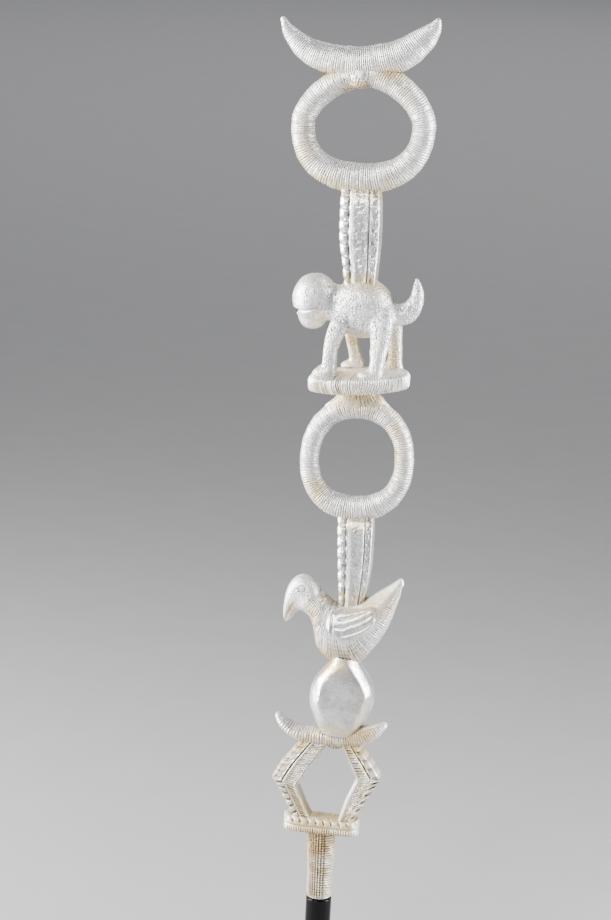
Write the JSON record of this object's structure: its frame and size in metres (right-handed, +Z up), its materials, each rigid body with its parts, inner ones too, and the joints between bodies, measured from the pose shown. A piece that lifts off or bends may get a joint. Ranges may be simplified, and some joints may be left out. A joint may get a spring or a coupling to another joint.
{
  "type": "carved ceremonial staff section on a display stand",
  "caption": "Carved staff with crescent, ring handles, ribbed shafts, monkey, bird, egg and stool, standing on a round foot by its black rod.",
  "frame": {"origin": "centre of the stand foot's underside, on the rod's axis", "axes": "+Z up along the rod and the staff, -Y towards the front, from which both animals are seen side on with their heads at the viewer's left, +X to the viewer's right"},
  "size_m": [0.15, 0.15, 0.7588],
  "materials": {
    "metal_leaf": "carved wood under worn silver-white metal leaf, stained brown in its recesses",
    "black_enamel": "glossy black enamel"
  },
  "bodies": {
    "root": {"carved_staff": "metal_leaf", "stand_rod": "black_enamel", "stand_foot": "black_enamel"}
  },
  "joints": []
}
